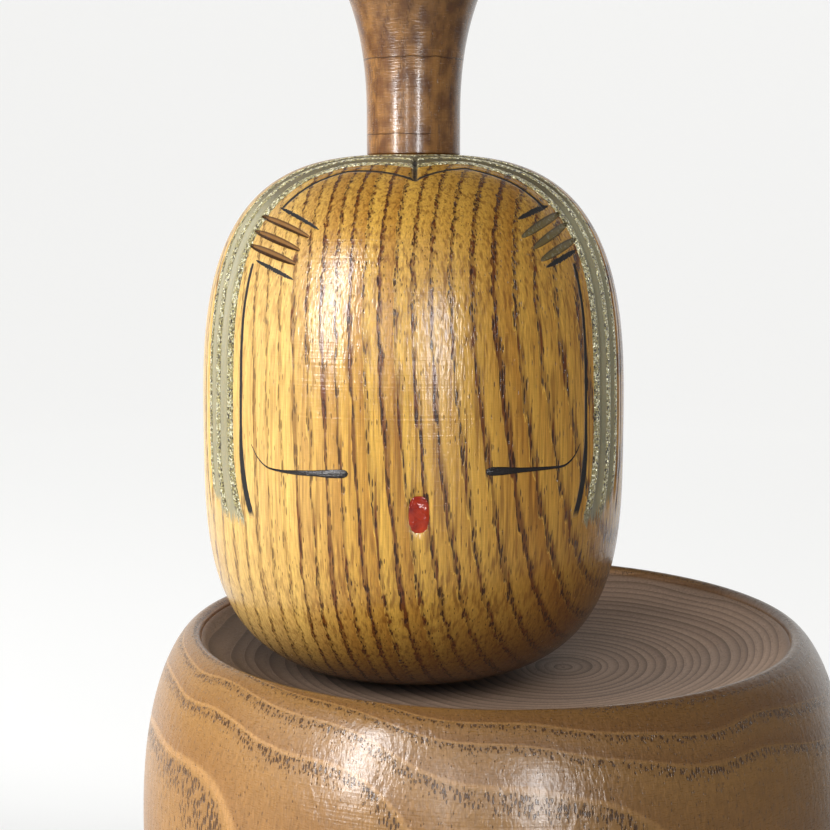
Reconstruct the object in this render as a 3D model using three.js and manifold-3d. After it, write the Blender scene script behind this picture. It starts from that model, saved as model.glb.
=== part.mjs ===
// A turned wooden kokeshi doll: a barrel-shaped head with a flared topknot, set off-centre in the dished
// top of a wide drum body and free to turn on a hidden dowel.
// Millimetres. +Z is up, the face looks along -Y, and the origin is the centre of the body's base.
import * as THREE from "three";
import { mergeVertices } from "three/addons/utils/BufferGeometryUtils.js";
import Module from "manifold-3d";

const wasm = await Module();
wasm.setup();

// Body: a drum with a soft shoulder and a shallow dish in its top.
const BODY_HEIGHT = 114;
const BODY_RADIUS = 57.8;
const BASE_RADIUS = 52.5;
const BASE_EDGE_RADIUS = 2.5;
const SHOULDER_DROP = 32.6;
const SHOULDER_ROUNDNESS = 1.55;
const SHOULDER_DROP_ROUNDNESS = 2.43;
const RIM_RADIUS = 49.2;
const RIM_EDGE_RADIUS = 1.2;
const DISH_DEPTH = 8;
const DISH_POWER = 3.2;

// Head: a barrel whose upper and lower halves are superellipses, on its own axis in the dish.
const HEAD_X = -13.2;
const HEAD_Y = 0;
const HEAD_RADIUS = 34;
const HEAD_ABOVE_EQUATOR = 43.8;
const HEAD_BELOW_EQUATOR = 39.7;
const HEAD_UPPER_POWERS = [3.13, 2.97];
const HEAD_LOWER_POWERS = [3.28, 3.31];
const HEAD_FLAT = 0.2;
const SEAT_DEPTH = 7.3;
const SEAT_GAP = 0.3;
const SEAT_RADIUS = 14;

// Neck dowel: tight in the body, a running fit in the head.
const DOWEL_RADIUS = 6;
const DOWEL_IN_BODY = 24;
const DOWEL_IN_HEAD = 20;
const DOWEL_CHAMFER = 0.8;
const GLUE_GAP = 0.04;
const RUNNING_GAP = 0.1;
const END_GAP = 1;

// Topknot: a waisted stem that flares into a rounded knot, with a tenon in the crown.
const TOPKNOT_STEM_RADIUS = 7.45;
const TOPKNOT_STRAIGHT = 6.5;
const TOPKNOT_FLARE_HEIGHT = 42;
const TOPKNOT_FLARE_PULL = 22.5;
const TOPKNOT_RADIUS = 16.5;
const TOPKNOT_CAP = 13;
const TENON_RADIUS = 4.5;
const TENON_LENGTH = 13;

// Face: thin lacquer drawn on the front of the head.
const LACQUER_THICKNESS = 0.2;
const LACQUER_GAP = 0.05;
const EYE_HEIGHT = -2.6;
const EYE_INNER_X = 9.9;
const EYE_OUTER_X = 24.4;
const EYE_THICKNESS = 1.3;
const MOUTH_X = 0.8;
const MOUTH_HEIGHT = -8.35;
const MOUTH_HALF_WIDTH = 1.5;
const MOUTH_HALF_HEIGHT = 2.7;
const MOUTH_DEPTH = 0.7;

const BODY_SEGMENTS = 60;
const HEAD_SEGMENTS = 56;
const TOPKNOT_SEGMENTS = 40;
const BORE_SEGMENTS = 40;

const headZ = BODY_HEIGHT - SEAT_DEPTH + SEAT_GAP - HEAD_FLAT + HEAD_BELOW_EQUATOR;
const crownZ = HEAD_ABOVE_EQUATOR - HEAD_FLAT;
const soleZ = HEAD_FLAT - HEAD_BELOW_EQUATOR;

const sandedKeyaki = new THREE.MeshStandardMaterial({
  name: "honey_keyaki", color: 0xb98a3a, roughness: 0.32, metalness: 0,
});
const stainedKeyaki = new THREE.MeshStandardMaterial({
  name: "stained_keyaki", color: 0x8a5c33, roughness: 0.38, metalness: 0,
});
const plainDowel = new THREE.MeshStandardMaterial({
  name: "plain_dowel", color: 0xd2b383, roughness: 0.7, metalness: 0,
});
const blackLacquer = new THREE.MeshStandardMaterial({
  name: "black_lacquer", color: 0x15110f, roughness: 0.15, metalness: 0,
});
const redLacquer = new THREE.MeshStandardMaterial({
  name: "red_lacquer", color: 0xa61e17, roughness: 0.15, metalness: 0,
});

// A closed three.js geometry as a manifold-3d solid, turned outward if its faces point in.
function solidOf(geometry) {
  const bare = geometry.index ? geometry.toNonIndexed() : geometry.clone();
  bare.deleteAttribute("normal");
  bare.deleteAttribute("uv");
  const merged = mergeVertices(bare, 1e-4);
  const corners = new Uint32Array(merged.index.array);
  const vertProperties = merged.attributes.position.array;
  const make = () => new wasm.Manifold(new wasm.Mesh({ numProp: 3, vertProperties, triVerts: corners }));
  const made = make();
  if (made.volume() > 0) {
    return made;
  }
  for (let i = 0; i < corners.length; i += 3) {
    [corners[i + 1], corners[i + 2]] = [corners[i + 2], corners[i + 1]];
  }
  return make();
}

// A manifold-3d solid as a named three.js mesh.
function meshOf(name, solid, material) {
  const cut = solid.getMesh();
  const positions = new Float32Array(cut.numVert * 3);
  for (let i = 0; i < cut.numVert; i += 1) {
    const start = i * cut.numProp;
    positions.set(cut.vertProperties.subarray(start, start + 3), i * 3);
  }
  const geometry = new THREE.BufferGeometry();
  geometry.setAttribute("position", new THREE.BufferAttribute(positions, 3));
  geometry.setIndex(new THREE.BufferAttribute(cut.triVerts, 1));
  geometry.computeVertexNormals();
  const mesh = new THREE.Mesh(geometry, material);
  mesh.name = name;
  return mesh;
}

// A turned solid about Z from its half outline, given as [radius, height] pairs from the axis to the axis.
function turned(outline, segments) {
  const points = outline.map(([radius, height]) => new THREE.Vector2(radius, height));
  return solidOf(new THREE.LatheGeometry(points, segments).rotateX(Math.PI / 2));
}

function cylinder(radius, low, high, segments) {
  return turned([[0, low], [radius, low], [radius, high], [0, high]], segments);
}

// Points along a quarter of a superellipse, from its top on the axis to its widest circle.
function superQuarter(width, height, [widthPower, heightPower], steps) {
  return Array.from({ length: steps + 1 }, (_, i) => {
    const angle = (i / steps) * (Math.PI / 2);
    const across = i === steps ? 1 : Math.sin(angle);
    const up = i === steps ? 0 : Math.cos(angle);
    return [width * across ** (2 / widthPower), height * up ** (2 / heightPower)];
  });
}

// The head's outline from sole to crown, cut flat at both ends, grown outward by `extra`.
function headOutline(extra = 0) {
  const steps = 14;
  const upper = superQuarter(HEAD_RADIUS + extra, HEAD_ABOVE_EQUATOR + extra, HEAD_UPPER_POWERS, steps);
  const lower = superQuarter(HEAD_RADIUS + extra, HEAD_BELOW_EQUATOR + extra, HEAD_LOWER_POWERS, steps);
  return [...lower.map(([r, z]) => [r, -z]), ...upper.reverse().slice(1)];
}

// Body -------------------------------------------------------------------------------------------------

function dishOutline(steps) {
  const dishRadius = RIM_RADIUS - RIM_EDGE_RADIUS;
  return Array.from({ length: steps }, (_, i) => {
    const share = i / steps;
    const drop = DISH_DEPTH * (1 - share ** DISH_POWER);
    return [dishRadius * share, BODY_HEIGHT - drop - RIM_EDGE_RADIUS * share ** DISH_POWER];
  });
}

function rimEdge(steps) {
  return Array.from({ length: steps + 1 }, (_, i) => {
    const angle = Math.PI - (i / steps) * (Math.PI / 2);
    const rise = RIM_EDGE_RADIUS * (Math.sin(angle) - 1);
    return [RIM_RADIUS + RIM_EDGE_RADIUS * Math.cos(angle), BODY_HEIGHT + rise];
  });
}

function shoulder(steps) {
  const powers = [SHOULDER_ROUNDNESS, SHOULDER_DROP_ROUNDNESS];
  const quarter = superQuarter(BODY_RADIUS - RIM_RADIUS, SHOULDER_DROP, powers, steps);
  return quarter.slice(1).map(([r, z]) => [RIM_RADIUS + r, BODY_HEIGHT - SHOULDER_DROP + z]);
}

// Below the shoulder the wall draws in to the base along a gentle curve.
function lowerWall(steps) {
  const top = BODY_HEIGHT - SHOULDER_DROP;
  return Array.from({ length: steps }, (_, i) => {
    const share = (i + 1) / steps;
    const height = top + (BASE_EDGE_RADIUS - top) * share;
    return [BODY_RADIUS - (BODY_RADIUS - BASE_RADIUS) * share ** 2, height];
  });
}

function baseEdge(steps) {
  return Array.from({ length: steps }, (_, i) => {
    const angle = ((i + 1) / steps) * (Math.PI / 2);
    const inset = BASE_EDGE_RADIUS * (1 - Math.cos(angle));
    return [BASE_RADIUS - inset, BASE_EDGE_RADIUS * (1 - Math.sin(angle))];
  });
}

const bodyOutline = [
  ...dishOutline(9), ...rimEdge(3), ...shoulder(11), ...lowerWall(5), ...baseEdge(3), [0, 0],
];

const seatZ = BODY_HEIGHT - SEAT_DEPTH;
const dowelLow = seatZ - DOWEL_IN_BODY;
const dowelHigh = headZ + soleZ + DOWEL_IN_HEAD;

const seatAndBore = cylinder(SEAT_RADIUS, seatZ, BODY_HEIGHT, HEAD_SEGMENTS)
  .add(cylinder(DOWEL_RADIUS + GLUE_GAP, dowelLow - END_GAP, BODY_HEIGHT, BORE_SEGMENTS))
  .translate([HEAD_X, HEAD_Y, 0]);
const body = turned(bodyOutline, BODY_SEGMENTS).subtract(seatAndBore);

// Neck dowel -------------------------------------------------------------------------------------------

const dowel = turned([
  [0, dowelLow],
  [DOWEL_RADIUS - DOWEL_CHAMFER, dowelLow],
  [DOWEL_RADIUS, dowelLow + DOWEL_CHAMFER],
  [DOWEL_RADIUS, dowelHigh - DOWEL_CHAMFER],
  [DOWEL_RADIUS - DOWEL_CHAMFER, dowelHigh],
  [0, dowelHigh],
], BORE_SEGMENTS);

// Head and its lacquer, in the head's own frame: its origin is the centre of its widest circle ----------

// A flat stroke drawn in X and Z, standing from the head's axis out past its front.
function strokeBlock(shape) {
  const reach = HEAD_RADIUS * 1.5;
  const block = new THREE.ExtrudeGeometry(shape, { depth: reach, bevelEnabled: false, curveSegments: 10 });
  return solidOf(block.rotateX(Math.PI / 2));
}

// The space between two copies of the head, where lacquer stands a little proud of the wood.
function lacquerSkin() {
  const outer = turned(headOutline(LACQUER_GAP + LACQUER_THICKNESS), HEAD_SEGMENTS);
  return outer.subtract(turned(headOutline(LACQUER_GAP), HEAD_SEGMENTS));
}

// A closed eye: a stroke that is thick near the nose and sweeps up to a fine point at the temple.
function eyeShape(side) {
  const z = EYE_HEIGHT;
  const t = EYE_THICKNESS;
  const shape = new THREE.Shape();
  shape.moveTo(side * EYE_INNER_X, z - 0.55 * t);
  shape.quadraticCurveTo(side * (EYE_INNER_X - 0.6), z, side * EYE_INNER_X, z + 0.45 * t);
  shape.lineTo(side * (EYE_INNER_X + 6.5), z + 0.2 * t);
  shape.quadraticCurveTo(side * (EYE_OUTER_X - 2.2), z + 0.3 * t, side * EYE_OUTER_X, z + 3);
  shape.quadraticCurveTo(side * (EYE_OUTER_X - 2), z, side * (EYE_INNER_X + 7), z - 0.2 * t);
  shape.closePath();
  return shape;
}

function mouthSolid(grow) {
  const ball = new THREE.SphereGeometry(1, 20, 12);
  ball.scale(MOUTH_HALF_WIDTH + grow, MOUTH_DEPTH + grow, MOUTH_HALF_HEIGHT + grow);
  ball.translate(MOUTH_X, -HEAD_RADIUS * 0.995, MOUTH_HEIGHT);
  return solidOf(ball);
}

const headTrim = cylinder(HEAD_RADIUS * 2, soleZ, crownZ, 8);
const dowelBore = cylinder(
  DOWEL_RADIUS + RUNNING_GAP, soleZ - 1, soleZ + DOWEL_IN_HEAD + END_GAP, BORE_SEGMENTS,
);
const tenonSocket = cylinder(
  TENON_RADIUS + GLUE_GAP, crownZ - TENON_LENGTH - END_GAP, crownZ + 1, BORE_SEGMENTS,
);
const head = turned(headOutline(), HEAD_SEGMENTS)
  .intersect(headTrim)
  .subtract(dowelBore)
  .subtract(tenonSocket)
  .subtract(mouthSolid(LACQUER_GAP));

const skin = lacquerSkin();
const leftEye = skin.intersect(strokeBlock(eyeShape(-1)));
const rightEye = skin.intersect(strokeBlock(eyeShape(1)));
const mouth = mouthSolid(0).intersect(turned(headOutline(), HEAD_SEGMENTS));

// Topknot, standing on the crown ------------------------------------------------------------------------

function topknotOutline() {
  const flare = new THREE.CubicBezierCurve(
    new THREE.Vector2(TOPKNOT_STEM_RADIUS, TOPKNOT_STRAIGHT),
    new THREE.Vector2(TOPKNOT_STEM_RADIUS, TOPKNOT_STRAIGHT + TOPKNOT_FLARE_PULL),
    new THREE.Vector2(TOPKNOT_RADIUS, TOPKNOT_FLARE_HEIGHT - TOPKNOT_FLARE_PULL / 2),
    new THREE.Vector2(TOPKNOT_RADIUS, TOPKNOT_FLARE_HEIGHT),
  );
  const cap = superQuarter(TOPKNOT_RADIUS, TOPKNOT_CAP, [2.2, 2], 8)
    .map(([r, z]) => [r, TOPKNOT_FLARE_HEIGHT + z])
    .reverse();
  return [
    [0, -TENON_LENGTH],
    [TENON_RADIUS, -TENON_LENGTH],
    [TENON_RADIUS, GLUE_GAP],
    [TOPKNOT_STEM_RADIUS, GLUE_GAP],
    ...flare.getPoints(12).map((p) => [p.x, p.y]),
    ...cap.slice(1),
  ];
}

// Assembly ----------------------------------------------------------------------------------------------

const headGroup = new THREE.Group();
headGroup.position.set(HEAD_X, HEAD_Y, headZ);
headGroup.add(meshOf("head", head, sandedKeyaki));
headGroup.add(meshOf("left_eye_lacquer", leftEye, blackLacquer));
headGroup.add(meshOf("right_eye_lacquer", rightEye, blackLacquer));
headGroup.add(meshOf("mouth_lacquer", mouth, redLacquer));

const topknot = meshOf("topknot", turned(topknotOutline(), TOPKNOT_SEGMENTS), stainedKeyaki);
topknot.position.z = crownZ;
headGroup.add(topknot);

const neckDowel = meshOf("neck_dowel", dowel, plainDowel);
neckDowel.position.set(HEAD_X, HEAD_Y, 0);

const doll = new THREE.Group();
doll.add(meshOf("body", body, stainedKeyaki));
doll.add(neckDowel);
doll.add(headGroup);

export default doll;
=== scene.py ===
# %% [markdown]
# # A turned kokeshi doll
# A creative kokeshi is a few pieces of turned wood: a drum body with a dish in its top, a barrel head that
# stands off-centre in the dish and turns on a hidden dowel, and a flared topknot glued into the crown.
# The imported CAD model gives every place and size. These cells build the finer surfaces around it: smooth
# turned shells, the carved and painted hair, the lacquer of the face, and the ring-porous wood itself.

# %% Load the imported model
import math

import bmesh
import bpy
import numpy as np
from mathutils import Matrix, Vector


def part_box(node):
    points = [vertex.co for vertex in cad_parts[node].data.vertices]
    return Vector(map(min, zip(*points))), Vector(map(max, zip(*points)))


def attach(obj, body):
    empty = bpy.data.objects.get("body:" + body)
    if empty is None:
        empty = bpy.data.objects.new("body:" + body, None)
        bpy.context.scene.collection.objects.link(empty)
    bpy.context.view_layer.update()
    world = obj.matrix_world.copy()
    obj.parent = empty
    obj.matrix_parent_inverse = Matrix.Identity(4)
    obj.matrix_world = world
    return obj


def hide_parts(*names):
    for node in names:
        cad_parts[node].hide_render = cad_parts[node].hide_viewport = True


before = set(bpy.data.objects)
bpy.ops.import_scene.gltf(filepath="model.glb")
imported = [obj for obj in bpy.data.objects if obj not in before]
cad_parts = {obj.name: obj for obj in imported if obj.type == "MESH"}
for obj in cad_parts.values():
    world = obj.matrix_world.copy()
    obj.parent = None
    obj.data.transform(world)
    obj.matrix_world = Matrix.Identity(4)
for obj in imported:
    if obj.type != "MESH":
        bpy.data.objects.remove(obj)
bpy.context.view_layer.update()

MM = 0.001
print("CAD nodes:", sorted(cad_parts))

# %% [markdown]
# ## Places and sizes
# The frame is the only ruler. The body's box gives its height and radius, the head's box gives the head's
# axis, and the topknot's box gives its height. Only what a box can't say is written down here: how round a
# shoulder is, where the widest circle of the head lies, how wide a rim is. Lengths are in millimetres on
# the bench, because that is how a turner thinks, and become metres when a vertex is made.

# %% Measure the turned blocks
body_low, body_high = (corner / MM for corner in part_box("body"))
head_low, head_high = (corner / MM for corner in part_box("head"))
knot_low, knot_high = (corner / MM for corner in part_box("topknot"))
dowel_low, dowel_high = (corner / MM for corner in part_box("neck_dowel"))

BODY_HEIGHT = body_high.z
BODY_RADIUS = body_high.x
HEAD_X = (head_low.x + head_high.x) / 2
HEAD_Y = (head_low.y + head_high.y) / 2
HEAD_RADIUS = (head_high.x - head_low.x) / 2
SOLE_BELOW = 39.5
CROWN_ABOVE = head_high.z - head_low.z - SOLE_BELOW
EQUATOR_Z = head_low.z + SOLE_BELOW
print(f"body {BODY_HEIGHT:.1f} high, {BODY_RADIUS:.1f} in radius; head axis {HEAD_X:.1f}, {HEAD_Y:.1f}")

# %% [markdown]
# ## The camera and the room
# The camera comes before the models, so that every later choice can be judged through it. It looks slightly
# down on the head from about a forearm's length, with a longish lens. The room is a pale seamless bowl, a
# floor that curves up into its own wall, so that no horizon line cuts the view.

# %% Set the camera
CAMERA_AWAY = 267.1
CAMERA_ABOVE_EQUATOR = 35.2
CAMERA_RIGHT = 0.24
CAMERA_PITCH = 7.12
CAMERA_LENS = 71.57

camera = bpy.data.objects.new("camera", bpy.data.cameras.new("camera"))
camera.data.lens = CAMERA_LENS
camera.data.sensor_width = 36
camera.data.clip_start = 0.01
camera.location = Vector((HEAD_X + CAMERA_RIGHT, HEAD_Y - CAMERA_AWAY, EQUATOR_Z + CAMERA_ABOVE_EQUATOR)) * MM
camera.rotation_euler = (math.radians(90 - CAMERA_PITCH), 0, 0)
bpy.context.scene.collection.objects.link(camera)
bpy.context.scene.camera = camera
bpy.context.scene.view_settings.view_transform = "Standard"
print("camera at", [round(c, 4) for c in camera.location])

# %% [markdown]
# ## Sums on sockets
# A procedural finish is mostly arithmetic. Clicking Math nodes together hides that arithmetic, so one small
# class wraps a socket and lets Python's own operators add the nodes: `1 - mask` or `depth * 0.3` reads as
# what it is. `Finish` owns a material and adds every other kind of node. The helpers below also accept
# NumPy arrays, so that one formula can carve the mesh and paint it.

# %% Wrap a shader socket
class Value:
    """A socket that does sums: each operator adds one Math node."""

    def __init__(self, finish, socket):
        self.finish = finish
        self.socket = socket

    def __add__(self, other):
        return self.finish.math("ADD", self, other)

    def __radd__(self, other):
        return self.finish.math("ADD", other, self)

    def __sub__(self, other):
        return self.finish.math("SUBTRACT", self, other)

    def __rsub__(self, other):
        return self.finish.math("SUBTRACT", other, self)

    def __mul__(self, other):
        return self.finish.math("MULTIPLY", self, other)

    def __rmul__(self, other):
        return self.finish.math("MULTIPLY", other, self)

    def __truediv__(self, other):
        return self.finish.math("DIVIDE", self, other)

    def __pow__(self, other):
        return self.finish.math("POWER", self, other)


class Finish:
    """A material in the making."""

    def __init__(self, name):
        self.material = bpy.data.materials.new(name)
        self.material.use_nodes = True
        self.tree = self.material.node_tree
        self.tree.nodes.clear()

    def node(self, kind, settings=None, sockets=None, output=0):
        """Adds one node: its settings first, then the values or links of its sockets."""
        made = self.tree.nodes.new(kind)
        for key, setting in (settings or {}).items():
            setattr(made, key, setting)
        for key, item in (sockets or {}).items():
            if isinstance(item, Value):
                self.tree.links.new(item.socket, made.inputs[key])
            else:
                made.inputs[key].default_value = item
        return Value(self, made.outputs[output]) if len(made.outputs) else None

    def math(self, operation, *parts):
        return self.node("ShaderNodeMath", {"operation": operation}, dict(enumerate(parts)))

    def mix(self, share, first, second):
        """Blends two colours."""
        colours = [c if isinstance(c, Value) else (*c, 1) for c in (first, second)]
        sockets = {"Factor": share, 6: colours[0], 7: colours[1]}
        return self.node("ShaderNodeMix", {"data_type": "RGBA"}, sockets, 2)

    def tint(self, colour, amount):
        """Multiplies a colour by a number."""
        grey = self.node("ShaderNodeCombineXYZ", None, {0: amount, 1: amount, 2: amount})
        return self.node("ShaderNodeVectorMath", {"operation": "MULTIPLY"}, {0: colour, 1: grey})

    def noise(self, vector, scale, detail=2.0):
        sockets = {"Vector": vector, "Scale": scale, "Detail": detail}
        return self.node("ShaderNodeTexNoise", None, sockets)

    def noise_line(self, place, scale, detail=2.0):
        """Noise that depends on one number only."""
        sockets = {"W": place, "Scale": scale, "Detail": detail}
        return self.node("ShaderNodeTexNoise", {"noise_dimensions": "1D"}, sockets)

    def stretch(self, vector, scale):
        return self.node("ShaderNodeVectorMath", {"operation": "MULTIPLY"}, {0: vector, 1: scale})

    def millimetres(self, centre):
        """The point on the piece in millimetres, measured from `centre` (millimetres too)."""
        place = self.node("ShaderNodeTexCoord", None, None, "Object")
        sockets = {"Vector": place, "Location": [-c for c in centre], "Scale": (1 / MM, 1 / MM, 1 / MM)}
        return self.node("ShaderNodeMapping", None, sockets)

    def field(self, name):
        """A number stored on the vertices."""
        return self.node("ShaderNodeAttribute", {"attribute_name": name}, None, "Fac")

    def split(self, vector):
        parts = self.node("ShaderNodeSeparateXYZ", None, {0: vector})
        return [Value(self, out) for out in parts.socket.node.outputs]

    def surface(self, colour, roughness, height=None, metallic=0.0, **constants):
        """Ends the material: a Principled surface whose bump heights are in millimetres."""
        sockets = {"Base Color": colour, "Roughness": roughness, "Metallic": metallic, **constants}
        if height is not None:
            bump = {"Height": height, "Distance": MM, "Strength": 1.0}
            sockets["Normal"] = self.node("ShaderNodeBump", None, bump)
        shader = self.node("ShaderNodeBsdfPrincipled", None, sockets)
        self.node("ShaderNodeOutputMaterial", None, {"Surface": shader})
        return self.material


# %% Sums for sockets and arrays alike
def either(operation, plain):
    """A function that adds a Math node for sockets and computes at once for numbers."""

    def call(*parts):
        sockets = [part for part in parts if isinstance(part, Value)]
        return sockets[0].finish.math(operation, *parts) if sockets else plain(*parts)

    return call


sine = either("SINE", np.sin)
larger = either("MAXIMUM", np.maximum)
size_of = either("ABSOLUTE", np.abs)


def clamp(value):
    if isinstance(value, Value):
        return value.finish.node("ShaderNodeClamp", None, {"Value": value})
    return np.clip(value, 0, 1)


def ease(value, start, end):
    """Rises smoothly from 0 at `start` to 1 at `end`; `start` may be the larger of the two."""
    if isinstance(value, Value):
        sockets = {"Value": value, "From Min": start, "From Max": end}
        return value.finish.node("ShaderNodeMapRange", {"interpolation_type": "SMOOTHSTEP"}, sockets)
    share = np.clip((value - start) / (end - start), 0, 1)
    return share * share * (3 - 2 * share)


def band(value, half, soft):
    """1 where `value` is within `half` of zero, falling to 0 over `soft`."""
    return ease(size_of(value), half + soft, half)


def project(point, direction, origin):
    """How far a point lies from `origin` in a direction: a dot product."""
    start = origin.dot(direction)
    if isinstance(point, Value):
        settings, sockets = {"operation": "DOT_PRODUCT"}, {0: point, 1: direction}
        return point.finish.node("ShaderNodeVectorMath", settings, sockets, "Value") - start
    return point @ np.array(direction) - start


# %% [markdown]
# ## Turning
# Everything wooden here came off a lathe. A Screw modifier without pitch is a lathe: it sweeps a profile,
# drawn as a chain of vertices in one half plane, once round its axis, and merges the first column with
# the last and every point on the axis. It sweeps in even steps, so the helper then slides the columns
# round: a carved side can have many narrow columns while the plain back keeps a few wide ones.

# %% The lathe
def turn(name, profile, axis=(0.0, 0.0), stretches=((360, 120),)):
    """Turns a profile of (radius, height) pairs; stretches of (degrees, columns) run from the back round."""
    bm = bmesh.new()
    verts = [bm.verts.new(Vector((0, radius, height)) * MM) for radius, height in profile]
    for pair in zip(verts, verts[1:]):
        bm.edges.new(pair)
    blank = finish_mesh(name, bm)
    east, north = (place * MM for place in axis)
    degrees, columns = np.array(stretches, float).T
    screw = blank.modifiers.new("lathe", "SCREW")
    screw.steps = screw.render_steps = int(columns.sum())
    screw.use_merge_vertices = True
    screw.merge_threshold = 0.001 * MM
    turned = bpy.data.meshes.new_from_object(blank.evaluated_get(bpy.context.evaluated_depsgraph_get()))
    bpy.data.objects.remove(blank)
    bm = bmesh.new()
    bm.from_mesh(turned)
    even = np.concatenate([[0], np.cumsum(columns) / columns.sum() * 360])
    wanted = np.concatenate([[0], np.cumsum(degrees)])
    for vert in bm.verts:
        radius = math.hypot(vert.co.x, vert.co.y)
        angle = math.degrees(math.atan2(-vert.co.x, vert.co.y)) % 360
        slid = math.radians(np.interp(angle, even, wanted))
        # A Vector rounds to single precision, and a second rounding would leave slivers in the seat's cut.
        vert.co = Vector((east - radius * math.sin(slid), north + radius * math.cos(slid), vert.co.z))
    bmesh.ops.recalc_face_normals(bm, faces=bm.faces)
    return finish_mesh(name, bm)


def finish_mesh(name, bm, sharp=40):
    """Turns a bmesh into a smooth-shaded object at the origin."""
    mesh = bpy.data.meshes.new(name)
    bm.to_mesh(mesh)
    bm.free()
    mesh.shade_smooth()
    mesh.set_sharp_from_angle(angle=math.radians(sharp))
    piece = bpy.data.objects.new(name, mesh)
    bpy.context.scene.collection.objects.link(piece)
    return piece


def keep_field(piece, name, values):
    """Stores one number per vertex, which a finish can read back."""
    piece.data.attributes.new(name, "FLOAT", "POINT").data.foreach_set("value", values.astype(np.float32))


def keep_end_grain(piece):
    """Stores how far each spot faces along the trunk: 0 on a side, 1 on end grain."""
    normals = np.empty(len(piece.data.vertices) * 3)
    piece.data.vertices.foreach_get("normal", normals)
    keep_field(piece, "end_grain", np.abs(normals.reshape(-1, 3)[:, 2]))


def super_quarter(width, height, powers, steps):
    """A quarter of a superellipse from its top on the axis to its widest circle."""
    angles = np.linspace(0, math.pi / 2, steps + 1)
    across = width * np.sin(angles) ** (2 / powers[0])
    up = height * np.abs(np.cos(angles)) ** (2 / powers[1])
    up[-1] = 0
    return list(zip(across, up))


# %% [markdown]
# ## The head's shape
# A kokeshi head is a barrel: flatter than a ball on the sides, round at the crown and the chin. Two
# superellipses, one above the widest circle and one below, give exactly that. The profile is then walked
# at an uneven pace, with short steps where the chisel will work and long ones where the wood stays plain.

# %% Turn the head
HEAD_FLAT = 0.2
UPPER_POWERS = (3.13, 2.97)
LOWER_POWERS = (3.28, 3.31)
RUNNING_GAP = 0.1
DOWEL_BORE = (dowel_high.x - dowel_low.x) / 2 + RUNNING_GAP
DOWEL_TOP = dowel_high.z - EQUATOR_Z + 1
SOCKET_RADIUS = 4.54
SOCKET_DEPTH = 14
PACE = ((-14, 1.1), (22, 0.7), (24, 0.22), (37, 0.22), (38.5, 0.28), (43.3, 0.32), (43.6, 0.8))
COLUMNS = ((102, 41), (50, 120), (56, 70), (50, 120), (102, 41))


def head_outline():
    upper = super_quarter(HEAD_RADIUS, CROWN_ABOVE + HEAD_FLAT, UPPER_POWERS, 1500)
    lower = super_quarter(HEAD_RADIUS, SOLE_BELOW + HEAD_FLAT, LOWER_POWERS, 1500)
    outline = np.array([(r, -z) for r, z in lower] + upper[::-1][1:])
    inside = (outline[:, 1] > -SOLE_BELOW) & (outline[:, 1] < CROWN_ABOVE)
    return outline[inside]


def walk(outline, pace):
    """Keeps points of a dense outline at steps that depend on the height."""
    heights, steps = zip(*pace)
    lengths = np.hypot(*np.diff(outline, axis=0).T)
    middles = (outline[1:, 1] + outline[:-1, 1]) / 2
    walked = np.concatenate([[0], np.cumsum(lengths / np.interp(middles, heights, steps))])
    count = int(walked[-1])
    places = np.linspace(0, walked[-1], count + 1)
    return list(zip(np.interp(places, walked, outline[:, 0]), np.interp(places, walked, outline[:, 1])))


head_profile = [(0, DOWEL_TOP), (DOWEL_BORE, DOWEL_TOP), (DOWEL_BORE, -SOLE_BELOW)]
head_profile += walk(head_outline(), PACE)
head_profile += [(SOCKET_RADIUS, CROWN_ABOVE), (SOCKET_RADIUS, CROWN_ABOVE - SOCKET_DEPTH)]
head_profile += [(0, CROWN_ABOVE - SOCKET_DEPTH)]
head_profile = [(radius, EQUATOR_Z + height) for radius, height in head_profile]
head = turn("turned_head", head_profile, (HEAD_X, HEAD_Y), COLUMNS)

# %% [markdown]
# ## Drawing the hair
# The hair is a band over the crown, from temple to temple, carved as ridges and grooves. Seen from the
# side its lines are nearly straight and parallel, so one number describes them: how far a point lies
# behind the hairline. The same formulas serve twice, first to move the head's vertices as a gouge would,
# then in the finish to lay sage paint in the grooves, gold on the ridges and ink in the outline.

# %% Where the hair lies
PART_X = 0.25
PART_REACH_LEFT = 10.5
PART_REACH_RIGHT = 8.0
LINE_DIP = 5.0
RIDGE_DIP = 3.4
RIDGES = ((2.3, 0.9, -11.4), (5.8, 0.85, -11.8), (8.9, 0.6, -8.6))
GROOVES = ((4.05, 0.8, 0.42), (7.45, 0.75, 0.38), (10.1, 0.5, 0.25))
REAR_LINE = 12.2


def hairline(z):
    """How far in front of the axis the hair begins, at a height on the head."""
    shoulder = sine(1.5708 * clamp((39.0 - z) / 33.0))
    cheek = clamp((1.0 - z) / 12.0)
    return -17.4 - 4.6 * shoulder - 1.8 * cheek * cheek


def parting(x):
    """1 at the centre parting, 0 past its reach on both sides."""
    away = larger((PART_X - x) / PART_REACH_LEFT, (x - PART_X) / PART_REACH_RIGHT)
    return (1.0 - clamp(away)) ** 1.2


def hair_place(x, y, z):
    """How far behind the ink outline, and how far behind the front of the ridges, a point lies."""
    bare = y - hairline(z)
    part = parting(x)
    return bare + LINE_DIP * part, bare + RIDGE_DIP * part


def outline_ink(behind, y, z):
    """The ink outline: over the brow, then down the cheeks, swelling towards its brushed end."""
    half = 0.24 + 0.22 * ease(z, 4.0, -5.0)
    drawn = clamp(ease(z, 35.1, 35.5) + ease(z, 27.3, 26.9)) * ease(z, -11.0, -9.4) * ease(y, -1.0, -2.0)
    return ease(size_of(behind) - half, 0.1, -0.08) * drawn


def rear_ink(behind, z):
    return band(behind - REAR_LINE, 0.14, 0.2) * ease(z, -12.4, -10.5)


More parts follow.
